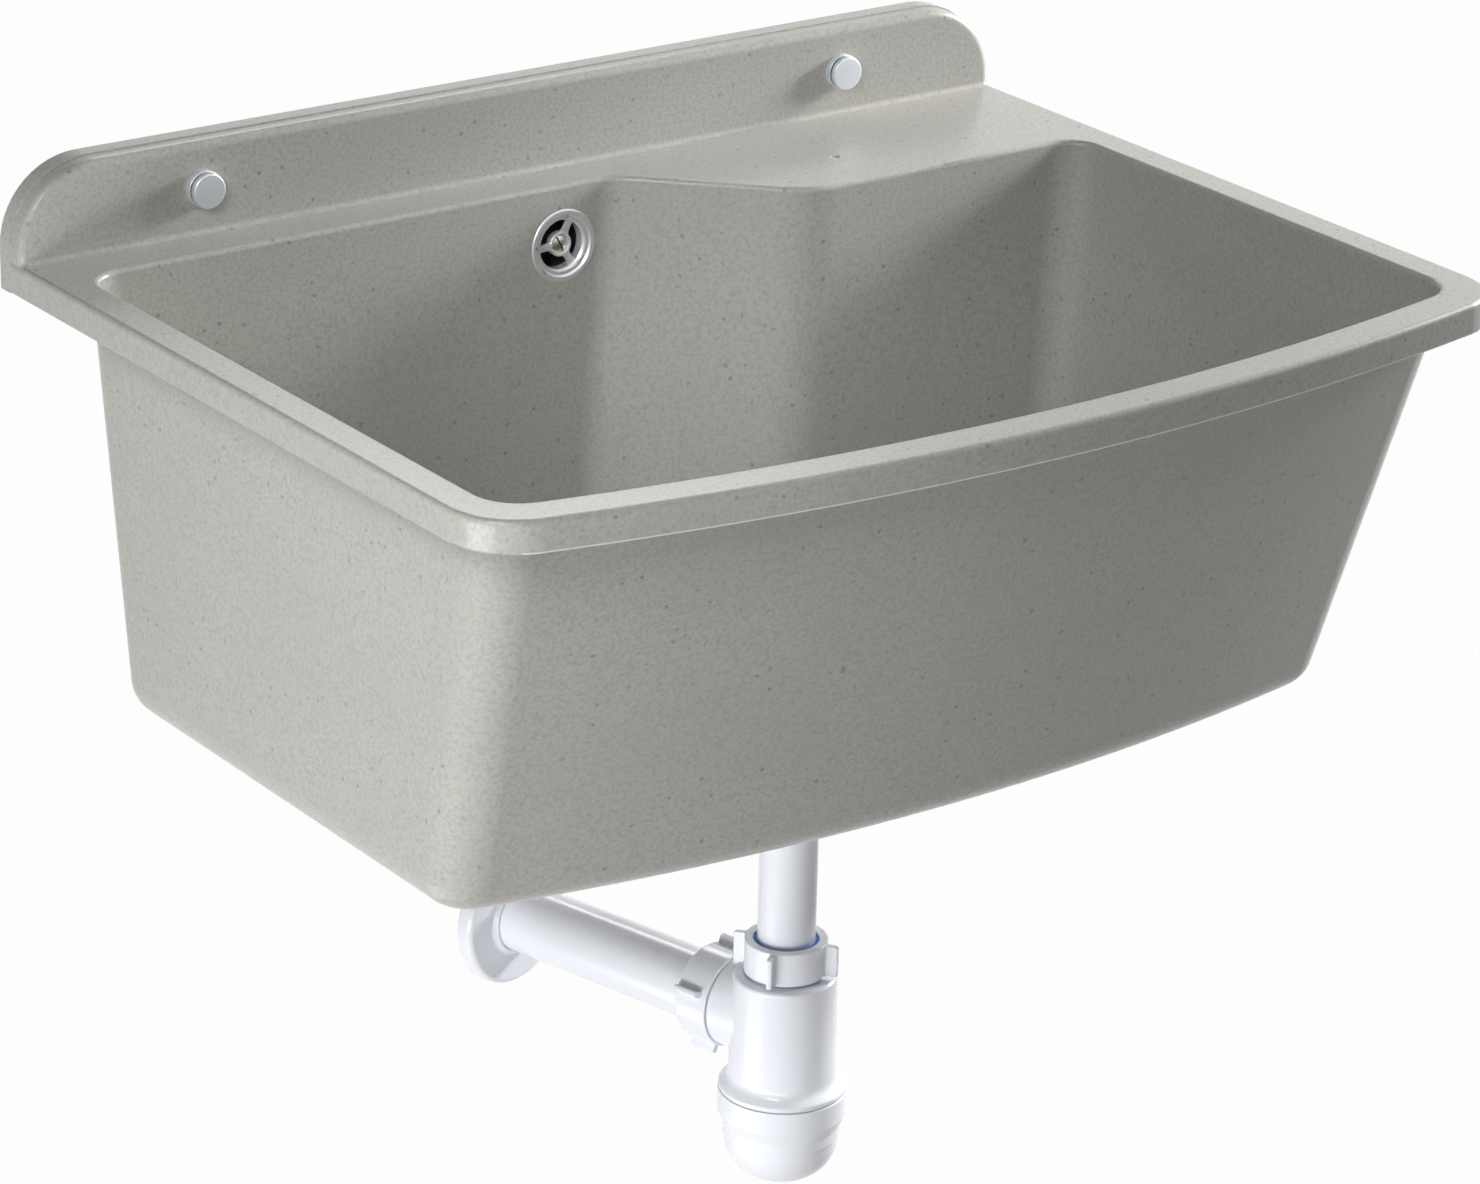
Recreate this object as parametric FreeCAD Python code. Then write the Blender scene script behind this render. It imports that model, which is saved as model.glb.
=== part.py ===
"""Wall-hung utility sink with overflow, waste and bottle trap, in millimetres.

The wall is the plane Y = 0 and the sink reaches out along -Y. Heights are
worked out with Z = 0 on the top of the rim, and every solid is then lowered so
that the origin lies midway between the two wall screws, on the wall.
"""
import FreeCAD, Part
import math
import os
from FreeCAD import Vector as V

# Rim and its turned-down lip
RIM_WIDTH = 640.0
RIM_REACH = 500.0       # wall to the middle of the bowed front
FRONT_RADIUS = 1400.0   # bow of the front edge in plan
RIM_CORNER = 38.0       # front corners in plan
RIM_EDGE = 3.0          # round along the outer top edge
BRIM_ROUND = 2.6        # round where the rim turns into the bowl
LIP_DROP = 17.0
LIP_EDGE = 1.2          # round along the foot of the lip
WALL = 4.0              # thickness of the moulding
RIM_SIDE = 21.6         # flat beside the bowl
RIM_FRONT = 23.4        # flat in front of the bowl
BACK_LEDGE = 51.0       # wall to the bowl behind the left part
TAP_LEDGE = 130.0       # wall to the bowl behind the tap ledge
JOG_START = 32.0        # where the 45 degree jog leaves the left part

# Bowl
BOWL_DEPTH = 242.0
SIDE_DRAFT = 4.1
FRONT_DRAFT = 17.0
REAR_DRAFT = 1.0
JOG_DRAFT = 4.0
REAR_CORNER = 21.0
JOG_INNER = 19.0        # beside the overflow
JOG_ROUND = 40.0        # where the jog meets the tap ledge
LEDGE_CORNER = 19.0
FRONT_CORNER = 24.0
FLOOR_ROUND = 18.0
TAP_MARK_X = 158.0      # moulded mark for drilling a tap hole
TAP_MARK_Y = -88.0
TAP_MARK_R = 3.0
TAP_MARK_DEPTH = 0.8

# Backsplash
SPLASH_RISE = 51.5
SPLASH_DEPTH = 21.0
SPLASH_CORNER = 46.0
SPLASH_EDGE = 4.5       # round along its front edge
BAND_DEPTH = 10.0       # raised band along the wall
BAND_STEP = 0.8
COVE = 3.0              # round where the backsplash meets the rim

# Wall screws, cap bases and caps
SCREW_SPACING = 420.0
SCREW_RISE = 25.3       # above the rim
SCREW_R = 3.0           # thread behind the wall plane
SCREW_SHANK_R = 2.5     # plain stretch inside the boss
SCREW_TIP_R = 1.0
SCREW_TIP = 6.0
SCREW_STICK_OUT = 45.0  # length behind the wall plane
SCREW_HEAD_R = 5.8
SCREW_BOSS_R = 9.0
CAP_R = 9.9
CAP_BASE = 2.5
CAP_SPIGOT_R = 7.6
CAP_SPIGOT = 3.5
CAP_GAP = 0.5           # shadow gap between the base and the cap
CAP_TALL = 5.5
CAP_FACE = 1.2

# Overflow
OVERFLOW_X = 0.0
OVERFLOW_DROP = 34.8    # below the rim
OVERFLOW_BORE_R = 15.5
ROSETTE_R = 21.0
ROSETTE_RISE = 2.4
ROSETTE_LAND_R = 17.6   # where the ring starts to slope down to the grid
ROSETTE_SKIRT = 8.0
ROSETTE_SKIRT_T = 1.2
GRID_SINK = 3.0         # grid below the wall's face
GRID_T = 1.8
HUB_R = 6.5
HUB_SINK = 1.6          # the screw's seat below the grid's face
HUB_RIM = 0.6           # rim of the hub above the grid's face
SPOKE_WIDTH = 4.0
SPOKE_COUNT = 3
SPOKE_TURN = 64.0
OVERFLOW_SCREW_R = 2.0
OVERFLOW_SCREW_HEAD_R = 5.0
OVERFLOW_SCREW_LENGTH = 20.4
SLOT_TURN = 115.0       # how the screws' slots happen to stand
SEAL_T = 2.0
ELBOW_FLANGE_R = 24.0
ELBOW_FLANGE_T = 3.0
ELBOW_R = 18.5
ELBOW_DEPTH = 26.0
TUBE_WALL = 2.2
HOSE_TAIL_R = 8.5
HOSE_TAIL_BORE_R = 6.7
HOSE_BARB = 1.0
HOSE_BARB_COUNT = 3
HOSE_BARB_LENGTH = 3.0
HOSE_BARB_STEP = 6.0
ELBOW_TAIL = 48.0       # centre of the overflow to the end of its hose tail

# Drain in the floor
DRAIN_REACH = 275.0     # wall to the middle of the drain
DRAIN_BORE_R = 26.0
SEAT_DROP = 4.0
SEAT_R = 39.0
SEAT_SLOPE = 5.0
STRAINER_R = 36.0
STRAINER_T = 1.2
STRAINER_SINK = 7.0
STRAINER_SEAL_T = 1.5
GRID_HOLE_R = 2.6
GRID_RING_R = 9.0       # first ring of holes, and the step to the next
GRID_RING_STEP = 7.5
GRID_RING_COUNT = 2
GRID_RING_HOLES = 6     # in the first ring, twice as many in the second
STRAINER_SCREW_R = 3.0
STRAINER_SCREW_HEAD_R = 5.5
INSERT_R = 5.5
INSERT_TALL = 10.0
WASTE_FLANGE_R = 34.5
WASTE_FLANGE_T = 4.0
WASTE_FUNNEL = 21.0     # flange top to the outlet
WASTE_OUTLET = 14.0
WASTE_THREAD_R = 20.9
WASTE_BORE_R = 17.5
WASTE_TAIL = 52.0       # centre of the drain to the end of its hose tail
WASTE_HUB_R = 8.5
WEB_COUNT = 3
WEB_TURN = 30.0

# Inlet pipe and the nuts that hold it
PIPE_R = 16.0
PIPE_WALL = 1.8
COLLAR_T = 2.5
WASTE_NUT = 18.0
NUT_WALL = 4.5
NUT_SHOULDER = 3.0
WING_COUNT = 4
WING_REACH = 6.8
WING_WIDTH = 3.5
BARE_PIPE = 72.0        # pipe seen between the waste nut and the trap

# Bottle trap, heights below the top of its nut
TOP_NUT = 19.5
TOP_NUT_R = 23.0
TOP_WING_TURN = 36.0
NUT_CLEAR = 1.5         # between the nut and the bottle's shoulder
NECK_R = 20.0
NECK_WALL = 3.0
BODY_TOP_R = 28.6
BODY_FOOT_R = 30.4
BODY_TALL = 89.5
BODY_WALL = 2.4
FLANGE_R = 35.2
FLANGE_T = 2.5
FLARE_ROUND = 6.0       # where the bottle runs out into the flange
THREAD_R = 27.2         # inside the foot, for the cup
THREAD_TALL = 15.5
DIP = 48.5              # pipe end below the outlet's lowest line

# Side arm, outlet pipe and wall cover, along the outlet from the trap's axis
OUTLET_DROP = 49.5      # below the top of the trap
OUTLET_SWING = 14.5     # turned left of square to the wall
OUTLET_R = 20.0
OUTLET_WALL = 1.8
OUTLET_START = 29.0
OUTLET_END = 217.0
OUTLET_FREE = 12.0      # spigot left free behind the cover
OUTLET_BEVEL = 1.2
MARK_WIDTH = 1.0        # groove that marks how far the spigot goes in
MARK_DEPTH = 0.4
ARM_WALL = 3.1
ARM_END = 49.0
ARM_ROOT_R = 25.6       # thicker root between the bottle and the nut
ARM_ROOT_GAP = 0.7
SIDE_NUT_START = 35.0
SIDE_NUT = 21.0
SIDE_NUT_WALL = 3.2
SIDE_WING_TURN = 36.5
SIDE_WING_REACH = 5.4
SIDE_WING_START = 4.0   # nut without wings at its open end
COVER_R = 41.0
COVER_DEPTH = 13.5
COVER_WALL = 2.0
COVER_COLLAR = 3.5

# Cup
CUP_R = 35.6
CUP_RING = 13.5
CUP_TAPER = 7.0
CUP_BOWL_R = 31.9
CUP_STEP = 0.7
CUP_LAND = 6.5          # straight part between the taper and the bowl
CUP_TALL = 54.0
CUP_WALL = 2.5
CUP_BEND = 52.0         # degrees along the rounded bottom to its middle
CUP_FULLNESS = 0.8      # under 1 for a fuller curve than a circle
CUP_FLAT = 0.3          # share of the radius that is flat underneath
CUP_SEAT_GAP = 0.6
CUP_SEAL_T = 1.6

# Clearances
FIT = 0.3               # between pieces that move or slide past each other
SEAL_FIT = 0.08         # seals on the pipes they slide along
THREAD_FIT = 0.06       # screws in the bores they bite in

HALF_RIM = RIM_WIDTH / 2
FRONT_CENTRE = FRONT_RADIUS - RIM_REACH
AXIS = V(0, 0, 1)


def tan(angle):
    return math.tan(math.radians(angle))


def turn(*profile):
    """Solid of revolution about Z from (radius, height) corners."""
    corners = [V(r, 0, z) for r, z in profile]
    return Part.Face(Part.makePolygon(corners + corners[:1])).revolve(V(), AXIS, 360)


def disc(radius, low, high):
    return Part.makeCylinder(radius, high - low, V(0, 0, low))


def tube(outer, inner, low, high):
    return disc(outer, low, high).cut(disc(inner, low, high))


def round_rings(solid, radius, *rings):
    """Round the circular edges of the given (radius, height)."""
    picked = []
    for edge in solid.Edges:
        box = edge.BoundBox
        for r, z in rings:
            if abs(box.XMax - r) + abs(box.ZMin - z) + abs(box.ZMax - z) < 0.01:
                picked.append(edge)
    return solid.makeFillet(radius, picked)


def place(shape, origin, direction):
    """Stand a piece built along Z at a point, along another direction."""
    shape = shape.copy()
    shape.Placement = FreeCAD.Placement(origin, FreeCAD.Rotation(AXIS, direction))
    return shape


def spun(shape, angle):
    shape = shape.copy()
    shape.rotate(V(), AXIS, angle)
    return shape


# Basin shell

def bowl_plan(depth, out):
    """Sharp corners of the bowl at a depth, moved outwards by a wall, and the front's apex."""
    half = HALF_RIM - RIM_SIDE - depth * tan(SIDE_DRAFT) + out
    back = -BACK_LEDGE - depth * tan(REAR_DRAFT) + out
    ledge = -TAP_LEDGE - depth * tan(REAR_DRAFT) + out
    slant = JOG_START - BACK_LEDGE + (out - depth * tan(JOG_DRAFT)) * math.sqrt(2)
    radius = FRONT_RADIUS - RIM_FRONT - depth * tan(FRONT_DRAFT) + out
    front = FRONT_CENTRE - math.sqrt(radius ** 2 - half ** 2)
    plan = ((-half, back), (slant - back, back), (slant - ledge, ledge),
            (half, ledge), (half, front), (-half, front))
    return [V(x, y, -depth) for x, y in plan], V(0, FRONT_CENTRE - radius, -depth)


def bowl_wire(depth, out):
    p, apex = bowl_plan(depth, out)
    edges = [Part.makeLine(p[i], p[i + 1]) for i in range(4)]
    edges.append(Part.Arc(p[4], apex, p[5]).toShape())
    edges.append(Part.makeLine(p[5], p[0]))
    return Part.Wire(edges)


def bowl_form(top, bottom, out):
    """Drafted bowl between two depths, its corners and its floor rounded."""
    solid = Part.makeLoft([bowl_wire(top, out), bowl_wire(bottom, out)], True, True)
    rounds = (REAR_CORNER + out, JOG_INNER + out, JOG_ROUND - out,
              LEDGE_CORNER + out, FRONT_CORNER + out, FRONT_CORNER + out)
    for foot, radius in zip(bowl_plan(bottom, out)[0], rounds):
        upright = [e for e in solid.Edges if e.BoundBox.ZLength > 1
                   and min(foot.distanceToPoint(v.Point) for v in e.Vertexes) < 0.01]
        solid = solid.makeFillet(radius, upright)
    floor = [e for e in solid.Edges if e.BoundBox.ZMax < 0.01 - bottom]
    return solid.makeFillet(FLOOR_ROUND + out, floor)


def rim_block(inset, back, low, high):
    """Rim in plan, drawn in by a wall: straight sides, rounded corners, bowed front."""
    half = HALF_RIM - inset
    radius = FRONT_RADIUS - inset
    front = FRONT_CENTRE - math.sqrt(radius ** 2 - half ** 2)
    p = [V(-half, back, low), V(half, back, low), V(half, front, low), V(-half, front, low)]
    bow = Part.Arc(p[2], V(0, FRONT_CENTRE - radius, low), p[3]).toShape()
    wire = Part.Wire([Part.makeLine(p[0], p[1]), Part.makeLine(p[1], p[2]), bow, Part.makeLine(p[3], p[0])])
    solid = Part.Face(wire).extrude(V(0, 0, high - low))
    corners = [e for e in solid.Edges if e.BoundBox.ZLength > 1 and e.BoundBox.YMax < front + 0.01]
    return solid.makeFillet(RIM_CORNER - inset, corners)


def splash_block(inset, low, front, back):
    """Backsplash outline with its rounded top corners, drawn in and given a depth."""
    half = HALF_RIM - inset
    top = SPLASH_RISE - inset
    r = SPLASH_CORNER - inset
    p = [V(-half, front, low), V(-half, front, top - r), V(r - half, front, top),
         V(half - r, front, top), V(half, front, top - r), V(half, front, low)]
    bend = r * (1 - math.sqrt(0.5))
    left = Part.Arc(p[1], V(bend - half, front, top - bend), p[2]).toShape()
    right = Part.Arc(p[3], V(half - bend, front, top - bend), p[4]).toShape()
    wire = Part.Wire([Part.makeLine(p[0], p[1]), left, Part.makeLine(p[2], p[3]), right,
                      Part.makeLine(p[4], p[5]), Part.makeLine(p[5], p[0])])
    return Part.Face(wire).extrude(V(0, back - front, 0))


# The rim is a plate with a lip on three sides, and its outer top edge is rounded.
rim = rim_block(0, 0, -LIP_DROP, 0)
outer_edge = [e for e in rim.Edges if e.BoundBox.ZMin > -0.01 and e.BoundBox.YMin < -0.01]
rim = rim.makeFillet(RIM_EDGE, outer_edge)
lip_foot = [e for e in rim.Edges if e.BoundBox.ZMax < 0.01 - LIP_DROP and e.BoundBox.YMin < -0.01]
rim = rim.makeFillet(LIP_EDGE, lip_foot)

# The backsplash is open towards the wall, with a raised band along the wall.
splash = splash_block(BAND_STEP, -LIP_DROP, -SPLASH_DEPTH, 0)
front_edge = [e for e in splash.Edges
              if e.BoundBox.YMax < 0.01 - SPLASH_DEPTH and e.BoundBox.ZMax > 0.01 - LIP_DROP]
splash = splash.makeFillet(SPLASH_EDGE, front_edge)
splash = splash.fuse(splash_block(0, -LIP_DROP, -BAND_DEPTH, 0))
PANEL_BACK = WALL - SPLASH_DEPTH
splash_hollow = splash_block(WALL + BAND_STEP, -LIP_DROP - 1, PANEL_BACK, 1)
rim_hollow = rim_block(WALL, 1, -LIP_DROP - 1, -WALL)
shell = rim.fuse(splash).cut(rim_hollow.fuse(splash_hollow))
shell = shell.fuse(bowl_form(0, BOWL_DEPTH + WALL, WALL))

# Bosses carry the wall screws from the panel to the wall.
screw_points = [V(side * SCREW_SPACING / 2, 0, SCREW_RISE) for side in (-1, 1)]
for point in screw_points:
    shell = shell.fuse(Part.makeCylinder(SCREW_BOSS_R, -PANEL_BACK, point, V(0, -1, 0)))

# The floor dips to a flat seat round the drain.
DRAIN = V(0, -DRAIN_REACH, -BOWL_DEPTH)
dip = turn((0, -WALL), (SEAT_R + SEAT_SLOPE + WALL, -WALL), (SEAT_R + WALL, -WALL - SEAT_DROP),
           (0, -WALL - SEAT_DROP))
shell = shell.fuse(place(dip, DRAIN, AXIS))
shell = shell.cut(bowl_form(-WALL, BOWL_DEPTH, 0))
seat = turn((0, 1), (SEAT_R + SEAT_SLOPE * (1 + 1 / SEAT_DROP), 1), (SEAT_R, -SEAT_DROP), (0, -SEAT_DROP))
shell = shell.cut(place(seat, DRAIN, AXIS))
shell = shell.cut(place(disc(DRAIN_BORE_R, -SEAT_DROP - 2 * WALL, 0), DRAIN, AXIS))

# The overflow is square to the leaning rear wall.
OVERFLOW = V(OVERFLOW_X, -BACK_LEDGE - OVERFLOW_DROP * tan(REAR_DRAFT), -OVERFLOW_DROP)
lean = math.radians(REAR_DRAFT)
INTO_BOWL = V(0, -math.cos(lean), math.sin(lean))
REAR_WALL = WALL * math.cos(lean)
shell = shell.cut(place(disc(OVERFLOW_BORE_R, -2 * WALL, WALL), OVERFLOW, INTO_BOWL))
for point in screw_points:
    shell = shell.cut(Part.makeCylinder(SCREW_R + FIT, SPLASH_DEPTH, point, V(0, -1, 0)))
shell = shell.removeSplitter()

# Soft edges: along the bowl's brim and in the corner under the backsplash.
plan, apex = bowl_plan(0, 0)
brim = [e for e in shell.Edges
        if abs(e.BoundBox.ZMin) + abs(e.BoundBox.ZMax) < 0.01
        and e.BoundBox.YMax < plan[0].y + 0.01 and e.BoundBox.YMin > apex.y - 0.01
        and e.BoundBox.XMin > plan[0].x - 0.01 and e.BoundBox.XMax < plan[3].x + 0.01]
shell = shell.makeFillet(BRIM_ROUND, brim)
cove = [e for e in shell.Edges
        if abs(e.BoundBox.ZMin) + abs(e.BoundBox.ZMax) + abs(e.BoundBox.YMin + SPLASH_DEPTH) < 0.01
        and e.BoundBox.YLength < 0.01]
shell = shell.makeFillet(COVE, cove)
ball = (TAP_MARK_R ** 2 + TAP_MARK_DEPTH ** 2) / (2 * TAP_MARK_DEPTH)
basin_shell = shell.cut(Part.makeSphere(ball, V(TAP_MARK_X, TAP_MARK_Y, ball - TAP_MARK_DEPTH)))

# Wall screws, cap bases and caps, built along Z from the backsplash's face
cap_base = turn((SCREW_R + FIT, 0), (CAP_R, 0), (CAP_R, CAP_BASE), (CAP_SPIGOT_R, CAP_BASE),
                (CAP_SPIGOT_R, CAP_BASE + CAP_SPIGOT), (SCREW_HEAD_R + FIT, CAP_BASE + CAP_SPIGOT),
                (SCREW_R + FIT, CAP_BASE + CAP_SPIGOT + SCREW_R - SCREW_HEAD_R))
HEAD_TOP = CAP_BASE + CAP_SPIGOT - FIT
screw_end = -SPLASH_DEPTH - SCREW_STICK_OUT
wall_screw = turn((0, screw_end), (SCREW_TIP_R, screw_end), (SCREW_R, screw_end + SCREW_TIP),
                  (SCREW_R, -SPLASH_DEPTH), (SCREW_SHANK_R, -SPLASH_DEPTH),
                  (SCREW_SHANK_R, HEAD_TOP + SCREW_SHANK_R - SCREW_HEAD_R), (SCREW_HEAD_R, HEAD_TOP),
                  (0, HEAD_TOP))
CAP_FOOT = CAP_BASE + CAP_GAP
cap = turn((0, CAP_FOOT + CAP_TALL - CAP_FACE), (CAP_SPIGOT_R + FIT, CAP_FOOT + CAP_TALL - CAP_FACE),
           (CAP_SPIGOT_R + FIT, CAP_FOOT), (CAP_R, CAP_FOOT), (CAP_R, CAP_FOOT + CAP_TALL),
           (0, CAP_FOOT + CAP_TALL))
cap = round_rings(cap, CAP_FACE / 2, (CAP_R, CAP_FOOT + CAP_TALL))


def at_screws(shape):
    return [place(shape, p - V(0, SPLASH_DEPTH, 0), V(0, -1, 0)) for p in screw_points]


# Overflow, built along Z out of the rear wall's inner face
SKIRT_R = OVERFLOW_BORE_R - FIT
skirt_bore = SKIRT_R - ROSETTE_SKIRT_T
GRID_TOP = -GRID_SINK
GRID_LOW = GRID_TOP - GRID_T
ring = turn((SKIRT_R, 0), (ROSETTE_R, 0), (ROSETTE_R, ROSETTE_RISE / 2),
            (ROSETTE_R - ROSETTE_RISE, ROSETTE_RISE), (ROSETTE_LAND_R, ROSETTE_RISE),
            (skirt_bore, GRID_TOP), (skirt_bore, -ROSETTE_SKIRT), (SKIRT_R, -ROSETTE_SKIRT))
HUB_SEAT = GRID_TOP - HUB_SINK
HUB_LOW = HUB_SEAT - GRID_T
# The spokes run from the hub's rim into the skirt.
spider = tube(HUB_R, OVERFLOW_SCREW_R + FIT, HUB_LOW, HUB_SEAT).fuse(
    tube(HUB_R, OVERFLOW_SCREW_HEAD_R + FIT, HUB_SEAT, GRID_TOP + HUB_RIM))
spoke_start = OVERFLOW_SCREW_HEAD_R + 2 * FIT
for i in range(SPOKE_COUNT):
    spoke = Part.makeBox(skirt_bore + ROSETTE_SKIRT_T / 2 - spoke_start, SPOKE_WIDTH, GRID_T,
                         V(spoke_start, -SPOKE_WIDTH / 2, GRID_LOW))
    spider = spider.fuse(spun(spoke, SPOKE_TURN + 360 * i / SPOKE_COUNT))
rosette = ring.fuse(spider).removeSplitter()


def slotted_screw(shank_r, head_r, head_low, length):
    """Round-headed screw with a slot, its head on a face at head_low."""
    dome = shank_r
    ball_r = (head_r ** 2 + dome ** 2) / (2 * dome)
    head = Part.makeSphere(ball_r, V(0, 0, head_low + dome - ball_r))
    head = head.common(disc(head_r, head_low, head_low + dome))
    slot = Part.makeBox(2 * head_r, shank_r / 2, shank_r, V(-head_r, -shank_r / 4, head_low + dome / 2))
    return head.cut(spun(slot, SLOT_TURN)).fuse(disc(shank_r, head_low - length, head_low)).removeSplitter()


overflow_screw = slotted_screw(OVERFLOW_SCREW_R, OVERFLOW_SCREW_HEAD_R, HUB_SEAT, OVERFLOW_SCREW_LENGTH)
overflow_gasket = tube(ELBOW_FLANGE_R - 1, OVERFLOW_BORE_R + 1, -REAR_WALL - SEAL_T, -REAR_WALL)


def hose_tail(reach):
    """Barbed tail for a hose, open, from the axis of its fitting along Z."""
    tail = disc(HOSE_TAIL_R, 0, reach)
    for i in range(HOSE_BARB_COUNT):
        top = reach - HOSE_BARB_LENGTH - HOSE_BARB_STEP * i
        low = top - HOSE_BARB_LENGTH
        tail = tail.fuse(turn((0, low), (HOSE_TAIL_R + HOSE_BARB, low), (HOSE_TAIL_R, top), (0, top)))
    return tail


elbow_top = -REAR_WALL - SEAL_T
elbow_back = elbow_top - ELBOW_DEPTH
elbow_bore = ELBOW_R - TUBE_WALL
tail_axis = elbow_back + TUBE_WALL + HOSE_TAIL_R
elbow = disc(ELBOW_R, elbow_back, elbow_top).fuse(disc(ELBOW_FLANGE_R, elbow_top - ELBOW_FLANGE_T, elbow_top))
elbow = elbow.fuse(place(hose_tail(ELBOW_TAIL), V(0, 0, tail_axis), V(0, -1, 0)))
elbow = elbow.cut(disc(elbow_bore, elbow_back + TUBE_WALL, elbow_top))
elbow = elbow.cut(place(disc(HOSE_TAIL_BORE_R, 0, ELBOW_TAIL), V(0, 0, tail_axis), V(0, -1, 0)))
screw_post = tube(OVERFLOW_SCREW_R + TUBE_WALL, OVERFLOW_SCREW_R + THREAD_FIT,
                  elbow_back + TUBE_WALL, GRID_LOW - ROSETTE_SKIRT)
overflow_elbow = elbow.fuse(screw_post).removeSplitter()

# Drain and waste, built down from the floor
seal_foot = -SEAT_DROP
strainer_seat = seal_foot + STRAINER_SEAL_T
strainer_gasket = tube(STRAINER_R - 1.5, DRAIN_BORE_R + 1, seal_foot, strainer_seat)
dish_r = DRAIN_BORE_R - 1
plate = strainer_seat - STRAINER_SINK
strainer = turn((0, plate), (dish_r - STRAINER_T - 2, plate), (dish_r, strainer_seat),
                (STRAINER_R, strainer_seat), (STRAINER_R, strainer_seat + STRAINER_T),
                (dish_r - STRAINER_T, strainer_seat + STRAINER_T),
                (dish_r - 2 * STRAINER_T - 2, plate + STRAINER_T), (0, plate + STRAINER_T))
grid = [disc(STRAINER_SCREW_R + FIT, plate, plate + STRAINER_T)]
for ring in range(GRID_RING_COUNT):
    count = GRID_RING_HOLES * (ring + 1)
    hole = Part.makeCylinder(GRID_HOLE_R, STRAINER_T, V(GRID_RING_R + ring * GRID_RING_STEP, 0, plate))
    grid += [spun(hole, 360 * i / count) for i in range(count)]
drain_strainer = strainer.cut(Part.makeCompound(grid))

waste_seal_top = -SEAT_DROP - WALL
waste_top = waste_seal_top - SEAL_T
waste_gasket = tube(WASTE_FLANGE_R - 1, DRAIN_BORE_R + 1, waste_top, waste_seal_top)
outlet_top = waste_top - WASTE_FUNNEL
outlet_foot = outlet_top - WASTE_OUTLET
funnel_r = DRAIN_BORE_R - 0.5
waste = turn((0, waste_top), (WASTE_FLANGE_R, waste_top), (WASTE_FLANGE_R, waste_top - WASTE_FLANGE_T),
             (funnel_r + TUBE_WALL, waste_top - WASTE_FLANGE_T), (WASTE_THREAD_R, outlet_top),
             (WASTE_THREAD_R, outlet_foot), (0, outlet_foot))
tail_height = waste_top - WASTE_FLANGE_T - HOSE_TAIL_R - 2 * HOSE_BARB
waste = waste.fuse(place(hose_tail(WASTE_TAIL), V(0, 0, tail_height), V(0, 1, 0)))
waste = waste.cut(turn((0, waste_top), (funnel_r, waste_top), (WASTE_BORE_R, outlet_top),
                       (WASTE_BORE_R, outlet_foot), (0, outlet_foot)))
waste = waste.cut(place(disc(HOSE_TAIL_BORE_R, 0, WASTE_TAIL), V(0, 0, tail_height), V(0, 1, 0)))
# Three webs hold a hub with the insert for the strainer's screw.
hub_low = outlet_top + TUBE_WALL
hub_high = hub_low + INSERT_TALL + TUBE_WALL
bridge = disc(WASTE_HUB_R, hub_low, hub_high)
for i in range(WEB_COUNT):
    web = Part.makeBox(WASTE_FLANGE_R, TUBE_WALL, hub_high - hub_low, V(0, -TUBE_WALL / 2, hub_low))
    bridge = bridge.fuse(spun(web, WEB_TURN + 360 * i / WEB_COUNT))
bite = TUBE_WALL / 2
bridge = bridge.common(turn((0, waste_top), (funnel_r + bite, waste_top), (WASTE_BORE_R + bite, outlet_top),
                            (0, outlet_top)))
bridge = bridge.cut(disc(INSERT_R + THREAD_FIT, hub_low, hub_low + INSERT_TALL))
bridge = bridge.cut(disc(STRAINER_SCREW_R + FIT, hub_low, hub_high))
waste_body = waste.fuse(bridge).removeSplitter()
screw_insert = tube(INSERT_R, STRAINER_SCREW_R + THREAD_FIT, hub_low, hub_low + INSERT_TALL)
strainer_screw = slotted_screw(STRAINER_SCREW_R, STRAINER_SCREW_HEAD_R, plate + STRAINER_T,
                               plate + STRAINER_T - hub_low)

# The nut draws the pipe's collar and a flat seal up against the outlet.
collar_r = WASTE_THREAD_R - 1
collar_top = outlet_foot - SEAL_T
collar_low = collar_top - COLLAR_T
waste_seal = tube(collar_r, PIPE_R - PIPE_WALL, collar_top, outlet_foot)


def winged_nut(outer, thread, hole, length, angle, reach, start=0):
    """Union nut along Z with its thread open at the bottom and its shoulder on top."""
    nut = tube(outer, hole, 0, length)
    root = (outer - thread) / 2
    wing = Part.makeBox(reach + root, WING_WIDTH, length - start, V(outer - root, -WING_WIDTH / 2, start))
    tips = [e for e in wing.Edges if e.BoundBox.ZLength > 1 and e.BoundBox.XMin > outer]
    wing = wing.makeFillet(WING_WIDTH / 3, tips)
    for i in range(WING_COUNT):
        nut = nut.fuse(spun(wing, angle + 360 * i / WING_COUNT))
    return nut.cut(disc(thread, 0, length - NUT_SHOULDER)).removeSplitter()


nut_bore = WASTE_THREAD_R + FIT
waste_nut = winged_nut(nut_bore + NUT_WALL, nut_bore, PIPE_R + FIT, WASTE_NUT, 0, WING_REACH)
nut_foot = collar_low - NUT_SHOULDER
waste_nut = place(waste_nut, V(0, 0, nut_foot + WASTE_NUT), V(0, 0, -1))
trap_top = nut_foot - BARE_PIPE
outlet_height = trap_top - OUTLET_DROP
pipe_end = outlet_height - OUTLET_R + OUTLET_WALL - DIP
inlet_pipe = tube(PIPE_R, PIPE_R - PIPE_WALL, pipe_end, collar_top)
inlet_pipe = inlet_pipe.fuse(tube(collar_r, PIPE_R, collar_low, collar_top)).removeSplitter()

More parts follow.
